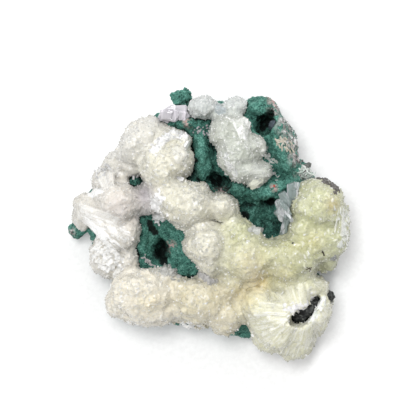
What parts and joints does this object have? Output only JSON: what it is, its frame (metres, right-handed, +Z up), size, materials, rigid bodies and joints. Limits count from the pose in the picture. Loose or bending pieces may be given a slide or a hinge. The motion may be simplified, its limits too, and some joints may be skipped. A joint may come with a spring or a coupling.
{
  "type": "mineral specimen of stilbite on chalcedony",
  "caption": "Mineral specimen for display: rounded sheaves of cream stilbite crystals grown over a cavernous green chalcedony matrix with a sawn underside.",
  "frame": {"origin": "middle of the specimen's box, on the sawn underside that it lies on", "axes": "+Z up from the sawn underside, +X to the right and +Y away from someone who looks down on the crystals"},
  "size_m": [0.114, 0.11, 0.0456],
  "materials": {
    "chalcedony": "matt, mossy crust with dark pits",
    "stilbite": "pearly, translucent, with small bright facets",
    "clear_crystal": "glassy, clear to milky",
    "grey_crystal": "glassy, smoky"
  },
  "bodies": {
    "root": {"chalcedony_matrix": "chalcedony", "stilbite_centre": "stilbite", "stilbite_right": "stilbite", "stilbite_middle": "stilbite", "stilbite_fan": "stilbite", "stilbite_left": "stilbite", "stilbite_wedge": "stilbite", "stilbite_lower_left": "stilbite", "stilbite_lower_middle": "stilbite", "stilbite_upper_left": "stilbite", "stilbite_ridge": "stilbite", "stilbite_top": "stilbite", "clear_crystals_top": "clear_crystal", "clear_crystals_cavity": "clear_crystal", "grey_crystal": "grey_crystal"}
  },
  "joints": []
}
